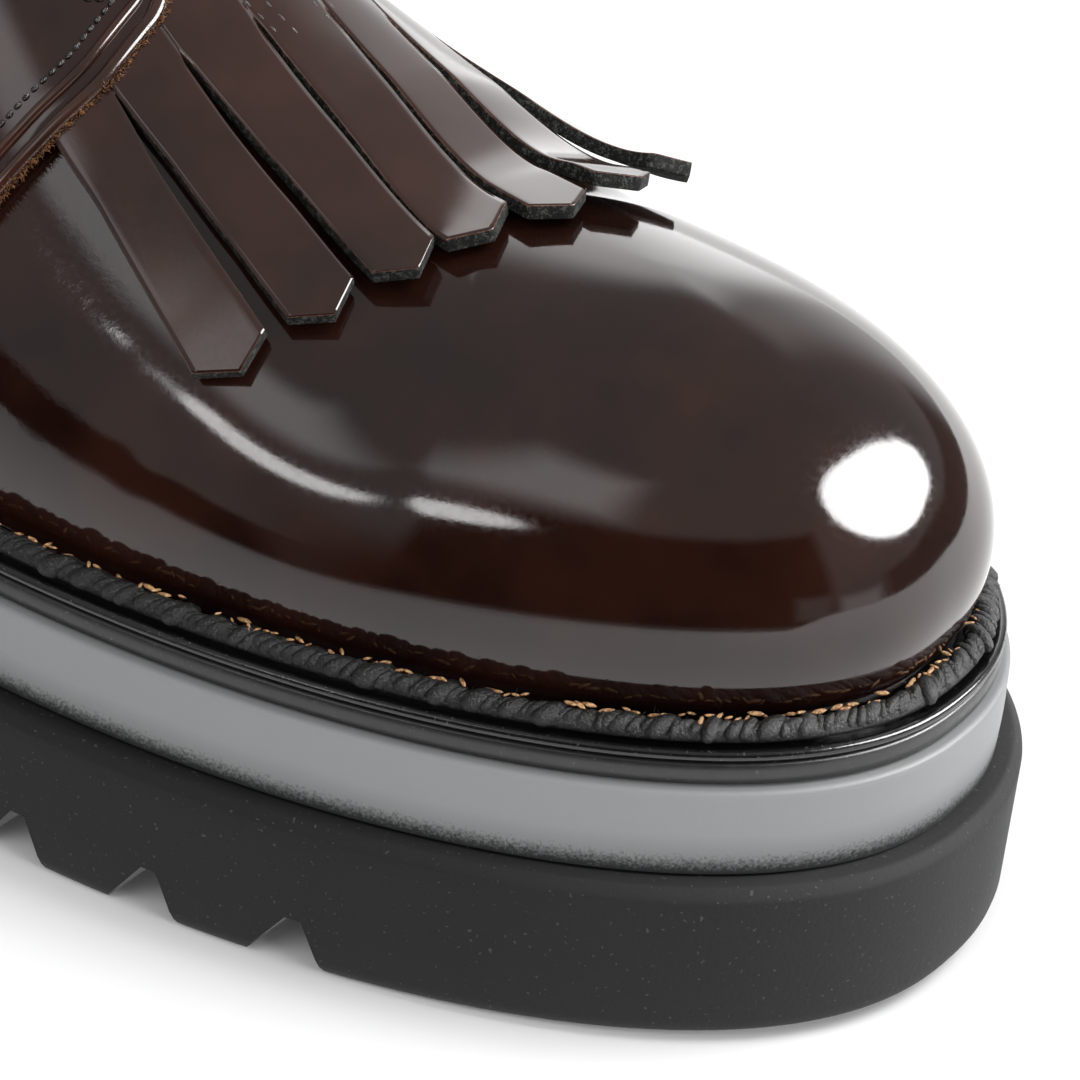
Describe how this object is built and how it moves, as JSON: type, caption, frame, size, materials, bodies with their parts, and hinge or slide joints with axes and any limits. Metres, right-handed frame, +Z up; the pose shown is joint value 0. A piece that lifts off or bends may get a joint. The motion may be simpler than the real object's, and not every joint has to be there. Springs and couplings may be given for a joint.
{
  "type": "kiltie derby shoe",
  "caption": "Right lace-up derby shoe with a fringed kiltie over the instep, a round toe and a thick layered sole with side lugs.",
  "frame": {"origin": "on the floor, at the middle of the shoe's box", "axes": "+X from heel to toe, +Y to the inner side of this right shoe, +Z up"},
  "size_m": [0.304, 0.112, 0.1358],
  "materials": {
    "burnished_leather": "high-gloss brushed leather, dark red-brown",
    "insole_leather": "plain vegetable-tanned leather",
    "outsole_foam": "matt black expanded foam",
    "grey_foam": "satin grey foam with a darker lower edge",
    "black_rubber": "polished black rubber",
    "welt_cord": "black twisted cord",
    "eyelet_metal": "black lacquered metal",
    "lace": "waxed dark brown cotton"
  },
  "bodies": {
    "root": {"outsole": "outsole_foam", "midsole_grey": "grey_foam", "midsole_black": "black_rubber", "welt": "black_rubber", "welt_braid": "welt_cord", "insole": "insole_leather", "upper": "burnished_leather", "quarter_outer": "burnished_leather", "quarter_inner": "burnished_leather", "back_strip": "burnished_leather", "tongue": "burnished_leather", "kiltie": "burnished_leather", "eyelet_outer_1": "eyelet_metal", "eyelet_outer_2": "eyelet_metal", "eyelet_outer_3": "eyelet_metal", "eyelet_outer_4": "eyelet_metal", "eyelet_inner_1": "eyelet_metal", "eyelet_inner_2": "eyelet_metal", "eyelet_inner_3": "eyelet_metal", "eyelet_inner_4": "eyelet_metal", "lace_bar_1": "lace", "lace_bar_2": "lace", "lace_bar_3": "lace", "lace_bar_4": "lace"}
  },
  "joints": []
}
